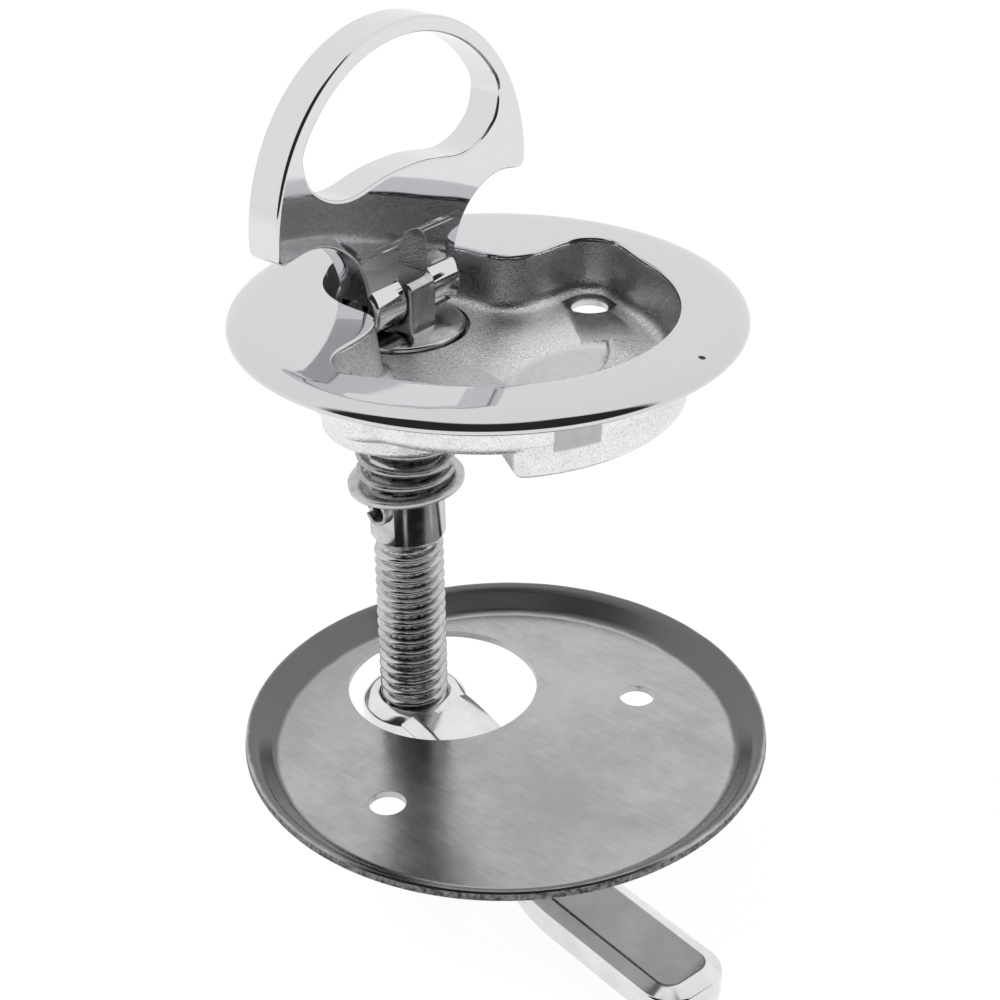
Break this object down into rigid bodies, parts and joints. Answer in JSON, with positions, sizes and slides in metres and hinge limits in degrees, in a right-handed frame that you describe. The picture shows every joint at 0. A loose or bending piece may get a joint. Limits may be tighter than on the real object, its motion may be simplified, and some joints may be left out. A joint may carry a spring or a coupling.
{
  "type": "flush pull latch",
  "caption": "Round flush pull latch in polished stainless: ring pull folds into a recessed flange, and turning it swings a cranked cam bar below a loose dished back plate.",
  "frame": {"origin": "halfway between the flange body's two screw holes, on the cup's flat underside, on the axis of the round flange", "axes": "+X from the spindle towards the far end of the recess, where the handle's tip lies when folded; +Y along the hinge pin, towards the back of the picture; +Z out of the panel, along the spindle's axis"},
  "size_m": [0.09, 0.084, 0.1359],
  "materials": {
    "polished_casting": "mirror polished flange, rough cast recess and cup",
    "polished_handle": "mirror polished",
    "turned_steel": "turned",
    "turned_spindle": "turned shank, rolled thread",
    "black_rubber": "matt",
    "spring_wire": "drawn wire",
    "washer_steel": "satin",
    "spring_pin_steel": "satin",
    "polished_bar": "mirror polished",
    "nut_steel": "satin",
    "brushed_sheet": "rolled sheet, rubbed and mottled"
  },
  "bodies": {
    "base": {"flange_body": "polished_casting", "seal_ring": "black_rubber", "back_plate": "brushed_sheet"},
    "turning": {"spindle": "turned_spindle", "hinge_pin": "turned_steel", "spring": "spring_wire", "spring_washer": "washer_steel", "cross_pin": "spring_pin_steel", "cam_bar": "polished_bar", "lock_nut": "nut_steel"},
    "pull": {"handle": "polished_handle"}
  },
  "joints": [
    {"name": "spindle_turn", "type": "hinge", "parent": "base", "child": "turning", "pos_m": [-0.0175, 0, 0], "axis": [0, 0, 1], "range_deg": [0, 360]},
    {"name": "handle_fold", "type": "hinge", "parent": "turning", "child": "pull", "pos_m": [-0.0175, 0, 0.009], "axis": [0, 1, 0], "range_deg": [0, 90]}
  ]
}
